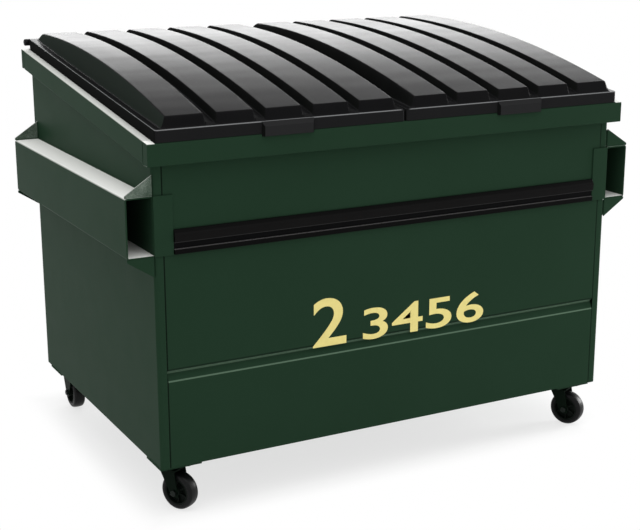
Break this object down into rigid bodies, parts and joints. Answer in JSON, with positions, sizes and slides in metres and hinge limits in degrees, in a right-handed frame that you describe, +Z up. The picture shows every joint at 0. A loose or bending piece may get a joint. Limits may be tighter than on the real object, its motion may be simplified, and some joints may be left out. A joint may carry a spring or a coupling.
{
  "type": "front-load dumpster",
  "caption": "Green sheet-steel rubbish dumpster with a sloping mouth, side fork pockets, ribbed black plastic lids on a rear rod, and casters, swivel in front and rigid behind.",
  "frame": {"origin": "on the ground, under the middle of the object's bounding box, which is also the middle of the body", "axes": "+X to the right along the front, -Y out of the front face, +Z up"},
  "size_m": [1.958, 1.325, 1.4722],
  "materials": {
    "green_paint": "satin dark green paint on sheet steel",
    "caster_paint": "dull dark green-black paint on pressed steel",
    "lid_plastic": "semi-gloss black moulded polyethylene",
    "rail_rubber": "satin black extruded rubber",
    "cap_plastic": "matte black moulded plastic",
    "tyre_rubber": "dull black solid rubber",
    "hub_iron": "black painted casting",
    "zinc_steel": "dull zinc plate"
  },
  "bodies": {
    "container": {"floor_plate": "green_paint", "front_bumper_rail": "rail_rubber", "front_left_caster_pad": "green_paint", "front_left_caster_plate": "caster_paint", "front_left_swivel_race": "caster_paint", "front_panel": "green_paint", "front_right_caster_pad": "green_paint", "front_right_caster_plate": "caster_paint", "front_right_swivel_race": "caster_paint", "front_rim": "green_paint", "hinge_lug_centre": "green_paint", "hinge_lug_far_left": "green_paint", "hinge_lug_far_right": "green_paint", "hinge_lug_left": "green_paint", "hinge_lug_right": "green_paint", "hinge_rod": "zinc_steel", "hinge_rod_left_cap": "cap_plastic", "hinge_rod_right_cap": "cap_plastic", "left_corner_strap": "green_paint", "left_fork_pocket": "green_paint", "left_front_lower_gusset": "green_paint", "left_front_upper_gusset": "green_paint", "left_rear_lower_gusset": "green_paint", "left_rear_upper_gusset": "green_paint", "left_rim": "green_paint", "left_side_panel": "green_paint", "rear_left_axle_bolt": "zinc_steel", "rear_left_axle_nut": "zinc_steel", "rear_left_caster_frame": "caster_paint", "rear_left_caster_pad": "green_paint", "rear_panel": "green_paint", "rear_right_axle_bolt": "zinc_steel", "rear_right_axle_nut": "zinc_steel", "rear_right_caster_frame": "caster_paint", "rear_right_caster_pad": "green_paint", "rear_rim": "green_paint", "right_corner_strap": "green_paint", "right_fork_pocket": "green_paint", "right_front_lower_gusset": "green_paint", "right_front_upper_gusset": "green_paint", "right_rear_lower_gusset": "green_paint", "right_rear_upper_gusset": "green_paint", "right_rim": "green_paint", "right_side_panel": "green_paint"},
    "left_lid": {"left_lid": "lid_plastic"},
    "right_lid": {"right_lid": "lid_plastic"},
    "front_left_fork": {"front_left_fork": "caster_paint", "front_left_axle_bolt": "zinc_steel", "front_left_axle_nut": "zinc_steel"},
    "front_right_fork": {"front_right_fork": "caster_paint", "front_right_axle_bolt": "zinc_steel", "front_right_axle_nut": "zinc_steel"},
    "front_left_wheel": {"front_left_tyre": "tyre_rubber", "front_left_hub": "hub_iron"},
    "front_right_wheel": {"front_right_tyre": "tyre_rubber", "front_right_hub": "hub_iron"},
    "rear_left_wheel": {"rear_left_tyre": "tyre_rubber", "rear_left_hub": "hub_iron"},
    "rear_right_wheel": {"rear_right_tyre": "tyre_rubber", "rear_right_hub": "hub_iron"}
  },
  "joints": [
    {"name": "left_lid_hinge", "type": "hinge", "parent": "container", "child": "left_lid", "pos_m": [-0.445, 0.65, 1.43402], "axis": [-1, 0, 0], "range_deg": [0, 245]},
    {"name": "right_lid_hinge", "type": "hinge", "parent": "container", "child": "right_lid", "pos_m": [0.445, 0.65, 1.43402], "axis": [-1, 0, 0], "range_deg": [0, 245]},
    {"name": "front_left_swivel", "type": "hinge", "parent": "container", "child": "front_left_fork", "pos_m": [-0.822, -0.544, 0.14], "axis": [0, 0, 1], "continuous": true},
    {"name": "front_right_swivel", "type": "hinge", "parent": "container", "child": "front_right_fork", "pos_m": [0.787, -0.544, 0.14], "axis": [0, 0, 1], "continuous": true},
    {"name": "front_left_wheel_spin", "type": "hinge", "parent": "front_left_fork", "child": "front_left_wheel", "pos_m": [-0.808, -0.56825, 0.0635], "axis": [0.866, 0.5, 0], "continuous": true},
    {"name": "front_right_wheel_spin", "type": "hinge", "parent": "front_right_fork", "child": "front_right_wheel", "pos_m": [0.79971, -0.56895, 0.0635], "axis": [0.891, 0.454, 0], "continuous": true},
    {"name": "rear_left_wheel_spin", "type": "hinge", "parent": "container", "child": "rear_left_wheel", "pos_m": [-0.816, 0.503, 0.0635], "axis": [1, 0, 0], "continuous": true},
    {"name": "rear_right_wheel_spin", "type": "hinge", "parent": "container", "child": "rear_right_wheel", "pos_m": [0.79, 0.503, 0.0635], "axis": [1, 0, 0], "continuous": true}
  ]
}
